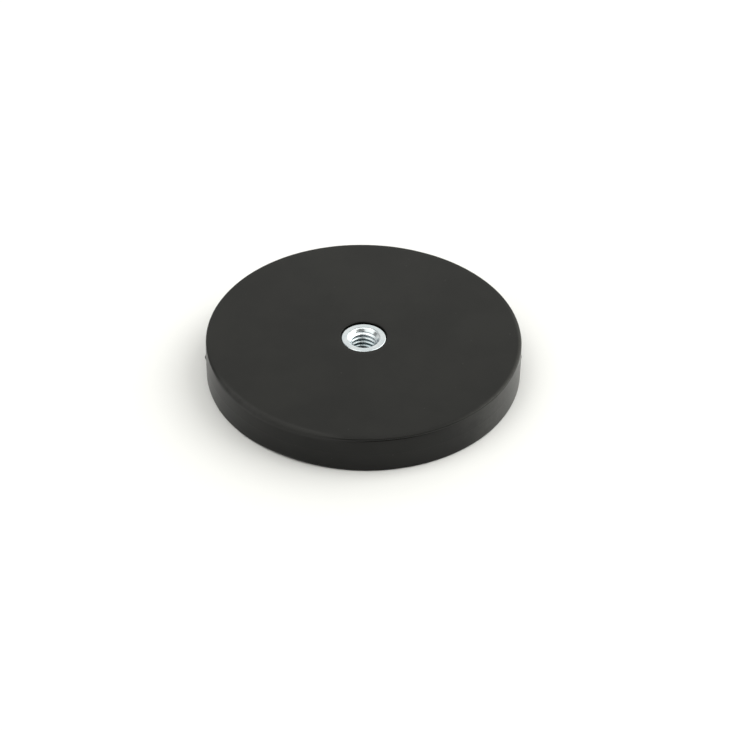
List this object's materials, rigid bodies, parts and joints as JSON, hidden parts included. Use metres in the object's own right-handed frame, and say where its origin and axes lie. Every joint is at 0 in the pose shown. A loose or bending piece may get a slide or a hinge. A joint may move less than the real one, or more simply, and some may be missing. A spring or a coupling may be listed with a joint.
{
  "type": "magnet fishing magnet",
  "caption": "Flat round rubber coated magnet disc with a steel plate and a ring of small magnets inside, and a flush threaded steel bush in the centre of its top face.",
  "frame": {"origin": "centre of the flat holding face, at its base", "axes": "+Z along the thread's axis, from the holding face to the mouth of the thread in the top face; X and Y lie in the holding face, with the first two magnets on either side of +X"},
  "size_m": [0.066, 0.066, 0.0085],
  "materials": {
    "black_rubber": "matte moulded",
    "plate_steel": "turned, lightly oiled",
    "zinc_plated_steel": "bright zinc plated",
    "nickel_plated_magnet": "bright nickel plated",
    "epoxy_adhesive": "cured amber epoxy"
  },
  "bodies": {
    "root": {"rubber_jacket": "black_rubber", "steel_plate": "plate_steel", "threaded_bush": "zinc_plated_steel", "magnet_01": "nickel_plated_magnet", "magnet_02": "nickel_plated_magnet", "magnet_03": "nickel_plated_magnet", "magnet_04": "nickel_plated_magnet", "magnet_05": "nickel_plated_magnet", "magnet_06": "nickel_plated_magnet", "magnet_07": "nickel_plated_magnet", "magnet_08": "nickel_plated_magnet", "magnet_09": "nickel_plated_magnet", "magnet_10": "nickel_plated_magnet", "magnet_11": "nickel_plated_magnet", "magnet_12": "nickel_plated_magnet", "adhesive_01": "epoxy_adhesive", "adhesive_02": "epoxy_adhesive", "adhesive_03": "epoxy_adhesive", "adhesive_04": "epoxy_adhesive", "adhesive_05": "epoxy_adhesive", "adhesive_06": "epoxy_adhesive", "adhesive_07": "epoxy_adhesive", "adhesive_08": "epoxy_adhesive", "adhesive_09": "epoxy_adhesive", "adhesive_10": "epoxy_adhesive", "adhesive_11": "epoxy_adhesive", "adhesive_12": "epoxy_adhesive"}
  },
  "joints": []
}
